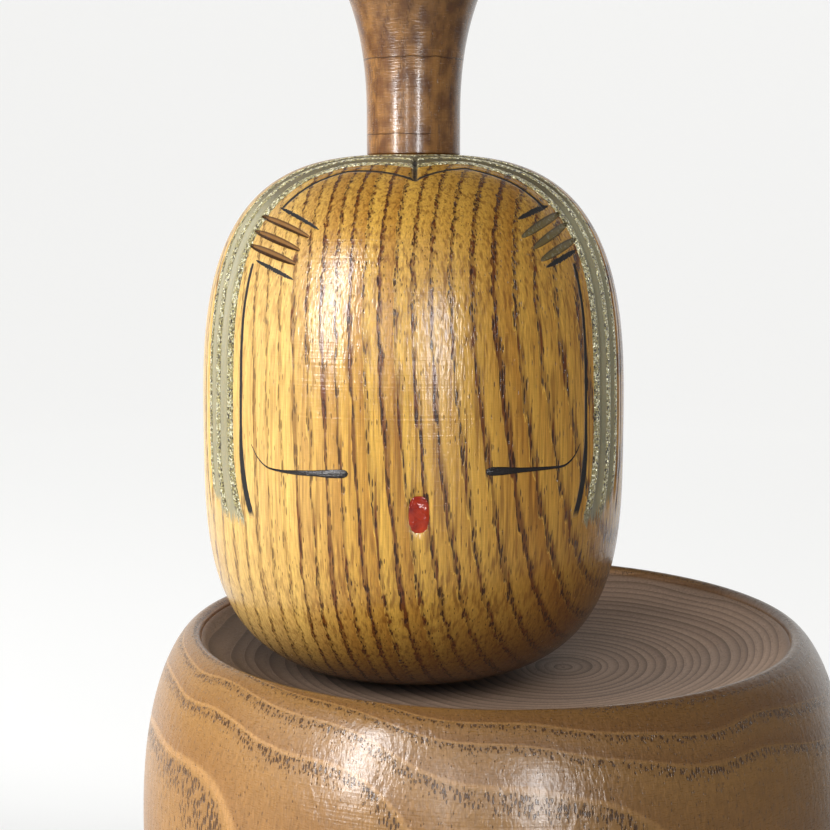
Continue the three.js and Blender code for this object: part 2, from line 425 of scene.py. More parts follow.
def part_cut(x, y, z):
    """The V cut at the parting."""
    spread = 0.12 - 0.005 * (y + 15.0)
    reach = ease(y, -12.5, -14.0) * ease(y, -22.6, -21.8) * ease(z, 36.0, 38.0)
    return ease(size_of(x - PART_X) - spread, 0.4, 0.0) * reach


def band_cover(behind, z):
    """Where the painted band lies, with its lower end brushed out."""
    lowest = -11.6 + 3.0 * clamp((behind - 6.0) / 3.0)
    return ease(behind, 1.45, 1.65) * ease(behind, 10.4, 9.8) * ease(z - lowest, -0.8, 0.8)


# %% [markdown]
# ## Gouge strokes
# At each temple short strokes are cut across the hairline: three gouge cuts and two inked lines. A stroke
# is a straight lens between two places on the head. Each place is given as a map reference, degrees round
# from the nose and millimetres above the widest circle, and becomes a point on the barrel. Two dot
# products then tell any other point how far along and how far across the stroke it is.

# %% Lay out the strokes
def barrel_radius(z):
    reach, powers = (CROWN_ABOVE, UPPER_POWERS) if z > 0 else (SOLE_BELOW, LOWER_POWERS)
    return HEAD_RADIUS * (1 - (abs(z) / (reach + HEAD_FLAT)) ** powers[1]) ** (1 / powers[0])


def on_head(degrees, z):
    """A point of the barrel, in millimetres from the head's centre."""
    radius = barrel_radius(z)
    turned = math.radians(degrees)
    return Vector((radius * math.sin(turned), -radius * math.cos(turned), z))


def outward(degrees, z):
    """The barrel's outward normal at a map reference."""
    step = 0.01
    slope = (barrel_radius(z + step) - barrel_radius(z - step)) / (2 * step)
    turned = math.radians(degrees)
    return Vector((math.sin(turned), -math.cos(turned), -slope)).normalized()


class Stroke:
    """A lens-shaped stroke between two map references."""

    def __init__(self, start, end, half, depth):
        first, last = on_head(*start), on_head(*end)
        middle = [(a + b) / 2 for a, b in zip(start, end)]
        self.centre = (first + last) / 2
        self.length = (last - first).length
        self.along = (last - first).normalized()
        self.side = outward(*middle).cross(self.along).normalized()
        if self.side.z < 0:
            self.side = -self.side
        self.half = half
        self.depth = depth

    def across(self, point):
        """How far across the stroke a point lies: -1 and 1 at its edges, far outside beyond its ends."""
        along = project(point, self.along, self.centre) * (2 / self.length)
        lens = larger(1.0 - along * along, 1e-9) ** 0.45
        return project(point, self.side, self.centre) / (lens * self.half)


LEFT_CUTS = [
    Stroke((-55.6, 34.1), (-30.9, 31.1), 0.56, 0.38),
    Stroke((-55.2, 31.9), (-33.1, 29.2), 0.6, 0.4),
    Stroke((-54.8, 29.8), (-33.4, 27.2), 0.6, 0.4),
]
RIGHT_CUTS = [
    Stroke((53.6, 34.6), (32.6, 31.1), 0.68, 0.3),
    Stroke((54.4, 33.0), (35.7, 29.5), 0.68, 0.3),
    Stroke((55.3, 30.7), (37.2, 27.7), 0.68, 0.3),
]
INK_LINES = [
    Stroke((-48.4, 35.4), (-28.4, 32.2), 0.34, 0.1),
    Stroke((-49.2, 27.6), (-33.4, 25.0), 0.36, 0.1),
    Stroke((49.8, 35.7), (33.4, 33.7), 0.5, 0.1),
    Stroke((53.2, 29.0), (38.6, 26.7), 0.46, 0.1),
]
print(len(LEFT_CUTS) + len(RIGHT_CUTS), "gouge cuts and", len(INK_LINES), "ink lines")

# %% [markdown]
# ## Carving
# The head's mesh is dense enough at the temples and crown for real grooves, so the relief is carved into
# the geometry rather than faked in the finish: light then rakes across it from any side. Every vertex is
# pushed along its normal by the depth of what is cut there. NumPy does the whole head at once.

# %% Carve the hair, the strokes and the mouth
MOUTH_X = 0.8
MOUTH_Z = -8.1
MOUTH_HALF_WIDTH = 1.6
MOUTH_HALF_HEIGHT = 3.25
MOUTH_DEPTH = 0.6


def carving(point):
    """The height of the carved surface above the plain barrel, in millimetres (cuts are negative)."""
    x, y, z = point.T
    line, behind = hair_place(x, y, z)
    height = -0.1 * outline_ink(line, y, z) - 0.1 * rear_ink(behind, z) - 0.4 * part_cut(x, y, z)
    for centre, half, depth in GROOVES:
        hollow = ease(size_of(behind - centre), half * 1.15, half * 0.35) * ease(z, -12.0, -6.5)
        height = height - depth * hollow
    for centre, half, end in RIDGES:
        height = height + 0.12 * band(behind - centre, half * 0.4, half * 0.8) * ease(z, end - 0.5, end + 3.0)
    front = ease(y, -6.0, -8.0)
    for stroke in LEFT_CUTS + RIGHT_CUTS + INK_LINES:
        height = height - stroke.depth * front * clamp(1.0 - stroke.across(point) ** 2)
    bowl = 1.0 - ((x - MOUTH_X) / MOUTH_HALF_WIDTH) ** 2 - ((z - MOUTH_Z) / MOUTH_HALF_HEIGHT) ** 2
    return height - MOUTH_DEPTH * clamp(bowl) ** 0.5 * ease(y, -28.0, -30.0)


def carve(piece, centre, relief):
    """Moves each vertex of a piece along its normal by relief(points), in millimetres from `centre`."""
    mesh = piece.data
    places = np.empty(len(mesh.vertices) * 3)
    normals = np.empty(len(mesh.vertices) * 3)
    mesh.vertices.foreach_get("co", places)
    mesh.vertices.foreach_get("normal", normals)
    places = places.reshape(-1, 3)
    local = places / MM - np.array(centre)
    for name, field in zip(("line", "behind"), hair_place(*local.T)):
        keep_field(piece, name, field)
    height = relief(local)
    outer = np.hypot(local[:, 0], local[:, 1]) > DOWEL_BORE + 0.5
    places += normals.reshape(-1, 3) * (height * outer * MM)[:, None]
    mesh.vertices.foreach_set("co", places.ravel())
    mesh.update()
    print(f"{piece.name}: deepest cut {height.min():.2f} mm, highest ridge {height.max():.2f} mm")


keep_end_grain(head)
carve(head, (HEAD_X, HEAD_Y, EQUATOR_Z), carving)
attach(head, "head")
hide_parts("head")

# %% [markdown]
# ## The topknot
# A waisted stem flares into a rounded knot. The flare is one Bezier curve and the cap a quarter of a
# superellipse; below, a tenon runs down into the crown's socket.

# %% Turn the topknot
KNOT_BASE_Z = head_high.z
STEM_RADIUS = 7.45
STEM_STRAIGHT = 6.5
KNOT_RADIUS = (knot_high.x - knot_low.x) / 2
KNOT_CAP = 13
KNOT_FLARE = knot_high.z - KNOT_BASE_Z - KNOT_CAP
FLARE_PULL = 22.5
TENON_RADIUS = 4.5
TENON_LENGTH = KNOT_BASE_Z - knot_low.z
GLUE_GAP = 0.04


def bezier(points, steps):
    share = np.linspace(0, 1, steps + 1)[:, None]
    a, b, c, d = (np.array(point) for point in points)
    left = 1 - share
    return left**3 * a + 3 * left**2 * share * b + 3 * left * share**2 * c + share**3 * d


flare = bezier([
    (STEM_RADIUS, STEM_STRAIGHT),
    (STEM_RADIUS, STEM_STRAIGHT + FLARE_PULL),
    (KNOT_RADIUS, KNOT_FLARE - FLARE_PULL / 2),
    (KNOT_RADIUS, KNOT_FLARE),
], 60)
cap = [(r, KNOT_FLARE + z) for r, z in super_quarter(KNOT_RADIUS, KNOT_CAP, (2.2, 2.0), 36)][::-1]
knot_profile = [(0, -TENON_LENGTH), (TENON_RADIUS, -TENON_LENGTH), (TENON_RADIUS, GLUE_GAP)]
knot_profile += [(STEM_RADIUS - 0.25, GLUE_GAP), (STEM_RADIUS, 0.3)]
knot_profile += [(STEM_RADIUS, height) for height in np.linspace(0.8, STEM_STRAIGHT - 0.5, 8)]
knot_profile += [tuple(point) for point in flare] + cap[1:]
knot_profile = [(radius, KNOT_BASE_Z + height) for radius, height in knot_profile]
topknot = turn("turned_topknot", knot_profile, (HEAD_X, HEAD_Y), ((360, 144),))
keep_end_grain(topknot)
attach(topknot, "head")
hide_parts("topknot")

# %% [markdown]
# ## The body
# The drum's outline has five stretches: the dish, the tight edge of the rim, the long soft shoulder, the
# wall that draws in a little to the base, and the eased bottom edge. Each is a short formula, so the CAD
# model and this finer shell agree. The head's seat and the dowel's bore are not on the body's own axis,
# so the lathe can't make them; a turned cutter does, with a Boolean.

# %% Turn the body
RIM_RADIUS = 49.2
RIM_EDGE = 1.2
DISH_DEPTH = 8.0
DISH_POWER = 3.2
SHOULDER_DROP = 32.6
SHOULDER_POWERS = (1.55, 2.43)
BASE_RADIUS = 52.5
BASE_EDGE = 2.5
SEAT_RADIUS = 14.0
SEAT_DEPTH = 7.3


def dish(steps):
    share = np.linspace(0, 1, steps + 1)[:-1]
    bowl = share**DISH_POWER
    return zip((RIM_RADIUS - RIM_EDGE) * share, BODY_HEIGHT - DISH_DEPTH * (1 - bowl) - RIM_EDGE * bowl)


def arc(centre_r, centre_z, radius, start, end, steps):
    angles = np.radians(np.linspace(start, end, steps + 1))
    return zip(centre_r + radius * np.cos(angles), centre_z + radius * np.sin(angles))


def shoulder(steps):
    quarter = super_quarter(BODY_RADIUS - RIM_RADIUS, SHOULDER_DROP, SHOULDER_POWERS, steps)
    return [(RIM_RADIUS + r, BODY_HEIGHT - SHOULDER_DROP + z) for r, z in quarter[1:]]


def lower_wall(steps):
    share = np.linspace(0, 1, steps + 1)[1:]
    top = BODY_HEIGHT - SHOULDER_DROP
    return zip(BODY_RADIUS - (BODY_RADIUS - BASE_RADIUS) * share**2, top + (BASE_EDGE - top) * share)


body_profile = [*dish(60), *arc(RIM_RADIUS, BODY_HEIGHT - RIM_EDGE, RIM_EDGE, 180, 90, 10)]
body_profile += [*shoulder(60), *lower_wall(50)]
body_profile += [*arc(BASE_RADIUS - BASE_EDGE, BASE_EDGE, BASE_EDGE, 0, -90, 8)][1:] + [(0, 0)]
body = turn("turned_body", body_profile, stretches=((360, 240),))

# %% Cut the head's seat and the dowel's bore
SEAT_Z = BODY_HEIGHT - SEAT_DEPTH
bore_radius = (dowel_high.x - dowel_low.x) / 2 + GLUE_GAP
cutter_profile = [
    (0, dowel_low.z - 1), (bore_radius, dowel_low.z - 1), (bore_radius, SEAT_Z),
    (SEAT_RADIUS, SEAT_Z), (SEAT_RADIUS, BODY_HEIGHT), (0, BODY_HEIGHT),
]
cutter = turn("seat_cutter", cutter_profile, (HEAD_X, HEAD_Y), ((360, 96),))
cut = body.modifiers.new("seat", "BOOLEAN")
cut.object = cutter
cut.solver = "EXACT"
cut_mesh = bpy.data.meshes.new_from_object(body.evaluated_get(bpy.context.evaluated_depsgraph_get()))
body.modifiers.clear()
body.data = cut_mesh
body.data.set_sharp_from_angle(angle=math.radians(40))
bpy.data.objects.remove(cutter)
keep_end_grain(body)
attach(body, "body")
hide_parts("body")
print(f"body with its seat: {len(body.data.polygons)} faces")

# %% [markdown]
# ## Lacquer strokes
# The closed eyes are two loaded brush strokes of black lacquer: thick and raised beside the nose, then
# drawn out thin and up towards the temple. A sphere is a good blank for such a stroke, because it is
# closed and already rounded. Its long axis is laid along the route on the head, its width follows the
# brush's pressure, and its lower half sinks just under the wood.

# %% Drape a stroke over the head
def smooth_route(stops, share):
    """Cubic (Catmull-Rom) interpolation of equally paced stops, at shares from 0 to 1."""
    table = np.array(stops, float)
    padded = np.vstack([2 * table[0] - table[1], table, 2 * table[-1] - table[-2]])
    place = np.clip(share, 0, 1) * (len(table) - 1)
    index = np.minimum(place.astype(int), len(table) - 2)
    t = (place - index)[:, None]
    a, b, c, d = (padded[index + i] for i in range(4))
    return 0.5 * (2 * b + (c - a) * t + (2 * a - 5 * b + 4 * c - d) * t**2 + (3 * b - a - 3 * c + d) * t**3)


def drape(name, stops, height, rings=96, segments=16):
    """A raised stroke along stops of (degrees round, height on the head, half width)."""
    bm = bmesh.new()
    bmesh.ops.create_uvsphere(bm, u_segments=segments, v_segments=rings, radius=1)
    blank = np.array([v.co for v in bm.verts])
    share = np.arccos(np.clip(blank[:, 2], -1, 1)) / math.pi
    route = smooth_route(stops, share)
    step = smooth_route(stops, share + 0.002) - smooth_route(stops, share - 0.002)
    ends = np.sqrt(np.clip(1 - blank[:, 2] ** 2, 1e-9, 1))
    for vert, (degrees, z, half), (turn_by, rise, _), ring, end in zip(bm.verts, route, step, blank, ends):
        flat = Vector((math.radians(turn_by) * HEAD_RADIUS, rise))
        flat.normalize()
        blunt = math.sqrt(1 - (1 - min(1.0, end * 5.0)) ** 2)
        across = ring[0] / end * blunt * half
        lift = ring[1] / end * blunt * height * min(1.0, half / 0.35)
        degrees -= math.degrees(across * flat.y / HEAD_RADIUS)
        z += across * flat.x
        place = on_head(degrees, z) + outward(degrees, z) * lift
        vert.co = (place + Vector((HEAD_X, HEAD_Y, EQUATOR_Z))) * MM
    bmesh.ops.remove_doubles(bm, verts=bm.verts, dist=0.001 * MM)
    bmesh.ops.recalc_face_normals(bm, faces=bm.faces)
    return finish_mesh(name, bm, 80)


LEFT_EYE = [
    (-45.3, 0.5, 0.08), (-43.0, -1.3, 0.09), (-39.6, -2.6, 0.13), (-35.0, -2.95, 0.2),
    (-30.0, -2.95, 0.36), (-25.0, -2.85, 0.45), (-20.5, -2.75, 0.62), (-16.0, -2.6, 0.66),
]
RIGHT_EYE = [
    (47.2, 0.5, 0.09), (44.6, -1.4, 0.13), (41.0, -2.5, 0.18), (36.0, -2.55, 0.24),
    (31.0, -2.5, 0.32), (26.5, -2.45, 0.42), (22.0, -2.4, 0.62), (17.9, -2.35, 0.66),
]
left_eye = drape("left_eye_stroke", LEFT_EYE, 0.16)
right_eye = drape("right_eye_stroke", RIGHT_EYE, 0.16)
for eye, node in ((left_eye, "left_eye_lacquer"), (right_eye, "right_eye_lacquer")):
    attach(eye, "head")
    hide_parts(node)

# %% [markdown]
# ## The mouth
# A small upright scoop is cut and then filled with red lacquer that pools in its lower part. The pool is
# a flattened sphere again, drawn out to a rounded oblong, with its face a little hollow of the wood.

# %% Pour the mouth
POOL_HALF_WIDTH = 1.5
POOL_HALF_HEIGHT = 2.72
POOL_Z = MOUTH_Z - 0.3
POOL_SINK = 0.16


def pour_mouth():
    bm = bmesh.new()
    bmesh.ops.create_uvsphere(bm, u_segments=64, v_segments=32, radius=1)
    for vert in bm.verts:
        x, y, z = vert.co
        angle = math.atan2(z, x)
        oblong = (abs(math.cos(angle)) ** 2.7 + abs(math.sin(angle)) ** 2.7) ** (-1 / 2.7)
        across = x * oblong * POOL_HALF_WIDTH
        up = z * oblong * POOL_HALF_HEIGHT
        wave = 0.03 * math.sin(2.1 * across + 1.3 * up) + 0.03 * math.sin(3.7 * up - 1.7 * across)
        degrees = math.degrees((MOUTH_X + across) / HEAD_RADIUS)
        lift = -POOL_SINK - y * 0.22 + wave * max(0.0, -y)
        place = on_head(degrees, POOL_Z + up) + outward(degrees, POOL_Z + up) * lift
        vert.co = (place + Vector((HEAD_X, HEAD_Y, EQUATOR_Z))) * MM
    bmesh.ops.recalc_face_normals(bm, faces=bm.faces)
    return finish_mesh("mouth_pool", bm, 80)


mouth = pour_mouth()
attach(mouth, "head")
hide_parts("mouth_lacquer")

# %% [markdown]
# ## The wood
# Keyaki and its relatives are ring-porous: each spring the tree makes a row of wide vessels, and in summer
# denser wood with small ones. A solid texture has to know that, because the lathe cuts the same block
# along, across and through its rings. So the finish starts from one number, how many years of growth lie
# between the pith and a point. Its fraction says spring or summer. The vessels are long ellipsoids along
# the trunk, which come out as dashes on a side face and as dots on end grain. Finer noises, drawn out
# along the trunk, across it and round it, give the fibre, the darker streaks, the rays and the tool marks.

# %% Grow the wood
class Timber:
    """Ring-porous wood: what the finishes of the three blocks share. `years` is the growth in rings."""

    def __init__(self, finish, point, years, cell=0.33, long=6.5, seed=0.0):
        self.finish = finish
        self.point = point
        self.phase = finish.math("FRACT", years)
        year = finish.math("FLOOR", years) + seed
        self.tone = finish.node("ShaderNodeTexWhiteNoise", {"noise_dimensions": "1D"}, {"W": year}, "Value")
        self.row = ease(self.phase, 0.0, 0.06) * ease(self.phase, 0.4, 0.14)
        self.spring = ease(self.phase, 0.0, 0.05) * ease(self.phase, 0.7, 0.1)
        self.vessels = self.grow_vessels(cell, long)
        self.fibre = finish.noise(finish.stretch(point, (4.0, 4.0, 0.25)), 1.0, 1.0)
        self.streak = finish.noise(finish.stretch(point, (1.9, 1.9, 0.06)), 1.0, 2.0)
        self.ray = finish.noise(finish.stretch(point, (1.2, 1.2, 6.0)), 1.0, 0.0)
        self.tool = finish.noise_line(finish.split(point)[2], 2.6, 1.0)
        # Darker where the surface faces along the trunk: partly end grain taking more stain, partly painted
        # shade on tops and undersides.
        self.shade = 1.0 - 0.5 * finish.field("end_grain")

    def grow_vessels(self, cell, long):
        """1 inside an open vessel; nearly every cell holds one, but only spring's are wide."""
        finish = self.finish
        packed = finish.stretch(self.point, (1 / cell, 1 / cell, 1 / (cell * long)))
        cells = finish.node("ShaderNodeTexVoronoi", None, {"Vector": packed, "Scale": 1.0}, "Distance")
        pick = Value(finish, cells.socket.node.outputs["Color"])
        chance = finish.split(pick)[0]
        width = 0.22 + 0.03 * self.spring + 0.13 * self.row
        present = ease(0.35 + 0.3 * self.spring + (0.3 + 0.3 * self.tone) * self.row - chance, 0.0, 0.08)
        return ease(cells - width * (0.75 + 0.7 * chance), 0.06, -0.08) * present


# %% [markdown]
# ## Honey wood
# The head's own finish starts from the tree. Its block is cut well away from the pith, so its rings are
# nearly flat; a little noise frays them. Over the honey stain lies painted light: a painted sheen pales the
# left temple and softens its rings and pores there, and painted shade darkens the right side and the
# underside under the chin. The pores show through the stain.

# %% Stain the head
HONEY_LIGHT = (0.80, 0.47, 0.080)
HONEY_DEEP = (0.42, 0.175, 0.022)
HONEY_PAINTED_SHEEN = (0.78, 0.56, 0.22)
HONEY_ROW = (0.14, 0.040, 0.007)
HONEY_UNDERSIDE_SHADE = (0.11, 0.034, 0.004)
VESSEL = (0.03, 0.010, 0.004)
HEAD_RING = 2.65
PITH_AWAY = 42.6


def head_years(finish, point):
    """Nearly flat rings that lean and twist a little."""
    x, y, z = finish.split(point)
    drift = finish.noise(finish.stretch(point, (0.06, 0.06, 0.02)), 1.0, 1.0)
    fray = finish.noise(finish.stretch(point, (1.6, 1.6, 0.12)), 1.0, 2.0)
    out = x - 0.34 * y + 0.085 * z + 0.0025 * x * z + (drift - 0.5) * 1.4 + (fray - 0.5) * 1.3
    swing = sine((out + 20.0) * 0.157)
    return (out - 0.7 * swing + PITH_AWAY) / HEAD_RING


def stain_head(finish, tree, x, z):
    # Painted shade: the wood darkens towards the right side.
    deep = 0.18 + 0.5 * tree.phase + 0.5 * (tree.tone - 0.5) + 0.25 * ease(x, 6.0, 30.0)
    wood = finish.mix(clamp(deep), HONEY_LIGHT, HONEY_DEEP)
    # Painted sheen: paler towards the left temple, with fainter rings and pores there.
    pale = ease(x, -4.0, -28.0)
    wood = finish.mix(pale * 0.5, wood, HONEY_PAINTED_SHEEN)
    stripe = tree.row * (0.5 + 0.5 * tree.tone) + ease(tree.streak, 0.46, 0.68) * 0.6
    wood = finish.mix(clamp(stripe * (1.0 - 0.5 * pale)), wood, HONEY_ROW)
    # Painted shade under the chin and towards the lower right.
    wood = finish.mix(0.85 * ease(z - 0.3 * x, -14.0, -42.0), wood, HONEY_UNDERSIDE_SHADE)
    wood = finish.tint(wood, (0.45 + 0.85 * tree.fibre + 0.25 * tree.streak + 0.1 * tree.ray) * tree.shade)
    return finish.mix(tree.vessels * (0.9 - 0.35 * pale), wood, VESSEL)


# %% [markdown]
# ## Sage, gold and ink
# The masks of the carving are painted in the maker's order: sage in the band, gold leaf on its ridges,
# bare and olive wood in the gouge cuts, and ink last. The leaf is a Voronoi pattern whose cells are flakes:
# most are dull gold, some carry a painted glint in near-white and some have come off. The sage in the
# grooves near the crown is darkened by painted shade. The paint is matte and the leaf glints.

# %% Paint the hair band
SAGE = (0.27, 0.255, 0.16)
CROWN_GROOVE_SHADE = (0.05, 0.04, 0.02)
GOLD = (0.48, 0.41, 0.17)
GOLD_PAINTED_GLINT = (1.0, 0.95, 0.66)
GOLD_GAP = (0.06, 0.04, 0.015)
FLAKES_PER_MM = 3.0


def scatter_flakes(finish, point):
    """How high each flake of leaf stands, and a random number that is its own."""
    sockets = {"Vector": point, "Scale": FLAKES_PER_MM}
    rise = finish.node("ShaderNodeTexVoronoi", None, sockets, "Distance")
    return rise, finish.split(Value(finish, rise.socket.node.outputs["Color"]))[0]


def hair_masks(finish, point, behind, z, grain):
    """Where sage and gold lie, with edges as ragged as a dry brush leaves them."""
    ragged = behind + (grain - 0.5) * 0.25
    bristles = finish.noise(finish.stretch(point, (2.5, 2.5, 0.1)), 1.0)
    sage = band_cover(ragged, z + (bristles - 0.5) * 7.0)
    gold = 0.0
    for centre, half, end in RIDGES:
        reach = ease(z + (grain - 0.5) * 5.0, end - 1.0, end + 3.5)
        gold = larger(band(ragged - centre, half * 0.7, 0.25) * reach, gold)
    return sage, gold * sage


def lay_hair(finish, wood, z, sage, gold, grain, chip, bare):
    # Painted shade: the grooves darken towards the crown.
    groove = finish.mix(ease(z, 33.0, 39.0) * 0.8, SAGE, CROWN_GROOVE_SHADE)
    painted = finish.mix(sage * (0.75 + 0.35 * grain), wood, groove)
    # Some flakes carry a painted glint.
    leaf = finish.mix(ease(chip, 0.3, 0.24), GOLD, GOLD_PAINTED_GLINT)
    return finish.mix(gold, painted, finish.mix(bare, leaf, GOLD_GAP))


# %% Shade the gouge cuts and draw the ink
OLIVE = (0.15, 0.11, 0.04)
CUT_WOOD = (0.20, 0.095, 0.025)
CUT_DARK_PAINT_AND_SHADE = (0.03, 0.013, 0.006)
INK = (0.008, 0.007, 0.007)


def shade_cuts(finish, colour, point, front, bare):
    """Left cuts show brown wood with dark paint along the lower half and painted shade under the upper edge;
    right ones are painted olive with dark edges.
    """
    dark, olive, gouged = 0.0, 0.0, 0.0
    for stroke in LEFT_CUTS:
        across = stroke.across(point)
        gouged = larger(gouged, band(across, 0.92, 0.12))
        # Dark paint on the lower half, painted shade under the upper edge.
        shade = larger(ease(across, 0.05, -0.3), 0.6 * ease(across, 0.45, 0.7))
        dark = larger(dark, shade * band(across, 0.92, 0.12))
    for stroke in RIGHT_CUTS:
        across = size_of(stroke.across(point))
        olive = larger(olive, ease(across, 1.0, 0.85))
        dark = larger(dark, 0.6 * ease(across, 0.5, 0.85) * ease(across, 1.05, 0.95))
    colour = finish.mix(olive * front, colour, finish.mix(bare * 0.5, OLIVE, SAGE))
    colour = finish.mix(gouged * front, colour, CUT_WOOD)
    return finish.mix(dark * front * 0.92, colour, CUT_DARK_PAINT_AND_SHADE)


def draw_ink(point, places, line, behind, front, grain):
    """Everything that is drawn with the ink brush, as one mask."""
    x, y, z = places
    ink = 0.0
    for stroke in INK_LINES:
        ink = larger(ink, band(stroke.across(point) + (grain - 0.5) * 1.2, 0.75, 0.25))
    ink = larger(ink * front, outline_ink(line, y, z))
    ink = larger(ink, rear_ink(behind, z) * 0.85)
    ink = larger(ink, part_cut(x, y, z) * 0.8)
    return clamp(ink * (0.75 + 0.8 * grain))


# %% Finish the head
HEAD_VARNISH = {"Coat Weight": 0.15, "Coat Roughness": 0.3, "IOR": 1.5}


def paint_head():
    finish = Finish("honey_keyaki_with_hair")
    point = finish.millimetres((HEAD_X, HEAD_Y, EQUATOR_Z))
    x, y, z = finish.split(point)
    tree = Timber(finish, point, head_years(finish, point))
    grain = finish.noise(point, 3.0, 1.0)
    rise, chip = scatter_flakes(finish, point)
    bare = ease(chip, 0.8, 0.84)
    line, behind = finish.field("line"), finish.field("behind")
    front = ease(y, -6.0, -8.0)
    sage, gold = hair_masks(finish, point, behind, z, grain)
    ink = draw_ink(point, (x, y, z), line, behind, front, grain)

    colour = stain_head(finish, tree, x, z)
    colour = lay_hair(finish, colour, z, sage, gold, grain, chip, bare)
    colour = shade_cuts(finish, colour, point, front, bare)
    colour = finish.mix(ink, colour, INK)

    metal = gold * (1.0 - bare) * 0.5
    rough = 0.17 + 0.12 * tree.ray + 0.3 * sage - 0.25 * gold + 0.45 * ink
    peel = finish.noise(finish.stretch(point, (1.3, 1.3, 0.7)), 1.0, 1.0)
    height = tree.vessels * -0.05 * (1.0 - sage) + tree.fibre * 0.045 + tree.tool * 0.02 + peel * 0.06
    return finish.surface(colour, rough, height + gold * rise * 0.55, metal, **HEAD_VARNISH)


head.data.materials.append(paint_head())
print("head finish:", len(head.data.materials[0].node_tree.nodes), "nodes")

# %% [markdown]
# ## Stained wood
# The body and topknot are the same kind of timber under a brown stain. The body is turned around the
# heart of its trunk, so the dish shows the year rings as circles, the shoulder cuts them into wavy
# contours and the wall into tall arches. Outside it is coated; the dish is left matte and greyer.

# %% Finish the body
STAIN_LIGHT = (0.37, 0.195, 0.058)
STAIN_DEEP = (0.19, 0.080, 0.024)
STAIN_RING = (0.11, 0.040, 0.011)
STAIN_EDGE = (0.62, 0.34, 0.12)
STAIN_VESSEL = (0.045, 0.018, 0.008)
DISH_LIGHT = (0.78, 0.53, 0.37)
DISH_DEEP = (0.36, 0.23, 0.15)
BODY_PITH = (14.0, 0.0)
BODY_RING = 1.8
BODY_VARNISH = {"Coat Roughness": 0.18, "IOR": 1.5}


def trunk_years(finish, point, pith, ring, wander, lean=0.0, recentre=0.0):
    """Rings around an upright pith at (x, y); wide rings `recentre` themselves on the block's own axis."""
    x, y, z = finish.split(point)
    slow = finish.noise(finish.stretch(point, (0.03, 0.03, 0.02)), 1.0, 1.0)
    spread = (x * x + y * y) ** 0.5
    away_x = x - pith[0] + spread * recentre
    away_y = y - pith[1]
    radius = (away_x * away_x + away_y * away_y) ** 0.5
    uneven = finish.noise_line(radius * 0.16, 1.0, 1.0)
    return (radius + (slow - 0.5) * wander + z * lean) / ring + (uneven - 0.5) * 1.6


def stain_outside(finish, tree, x):
    stained = finish.mix(clamp(0.1 + 0.6 * tree.phase + 0.5 * (tree.tone - 0.5)), STAIN_LIGHT, STAIN_DEEP)
    stained = finish.mix(tree.row * 0.22, stained, STAIN_RING)
    late = ease(tree.phase, 0.9, 0.96) * ease(x, 48.0, 10.0)
    stained = finish.mix(late * 0.4, stained, STAIN_EDGE)
    # Painted light and shade: lighter towards the left, darker towards the right.
    return finish.tint(stained, 1.1 - 0.35 * ease(x, -45.0, 25.0))


def grey_dish(finish, tree, x, y):
    share = clamp(0.1 + tree.phase * tree.phase + 0.4 * (tree.tone - 0.5))
    grey = finish.mix(share, DISH_LIGHT, DISH_DEEP)
    # Painted shade: the dish darkens towards its left and towards the back.
    return finish.tint(grey, (0.4 + 0.5 * ease(x, -40.0, -4.0)) * (1.0 - 0.2 * ease(y, 0.0, 40.0)))


def paint_body():
    finish = Finish("stained_keyaki_body")
    point = finish.millimetres((0, 0, BODY_HEIGHT))
    x, y, z = finish.split(point)
    years = trunk_years(finish, point, BODY_PITH, BODY_RING, 5.0, 0.06, 0.2)
    tree = Timber(finish, point, years, 0.34, 5.0, 3.7)
    radius = (x * x + y * y) ** 0.5
    inside = ease(radius, RIM_RADIUS - 0.6, RIM_RADIUS - 2.2) * ease(z, -12.0, -10.0)

    colour = finish.mix(inside, stain_outside(finish, tree, x), grey_dish(finish, tree, x, y))
    colour = finish.tint(colour, (0.5 + 0.75 * tree.fibre + 0.25 * tree.streak + 0.1 * tree.ray) * tree.shade)
    colour = finish.mix(tree.vessels * (0.85 - 0.6 * inside), colour, STAIN_VESSEL)

    rough = 0.24 + 0.1 * tree.ray + 0.44 * inside
    coat = (1.0 - inside) * 0.15
    peel = finish.noise(finish.stretch(point, (0.9, 0.9, 0.5)), 1.0, 2.0)
    height = tree.vessels * -0.08 + tree.fibre * 0.03 + tree.tool * 0.02 + peel * 0.12
    return finish.surface(colour, rough, height, 0.0, **{"Coat Weight": coat, **BODY_VARNISH})


body.data.materials.clear()
body.data.materials.append(paint_body())
print("body finish:", len(body.data.materials[0].node_tree.nodes), "nodes")

# %% [markdown]
# ## The topknot's finish
# The topknot took the stain in clouds, and its wood shows few pores. Fine lathe lines run round it, so its
# upright glints are broken, and two thin lines were left where the tool stopped.

# %% Finish the topknot
KNOT_LIGHT = (0.30, 0.14, 0.038)
KNOT_DEEP = (0.13, 0.052, 0.016)
KNOT_MARK = (0.04, 0.016, 0.008)
KNOT_PITH = (40.0, 22.0)
KNOT_RING = 2.4
LONG_LINE_Z = 14.9
SHORT_LINE_Z = 3.2
KNOT_VARNISH = {"Coat Weight": 0.3, "Coat Roughness": 0.15, "IOR": 1.5}


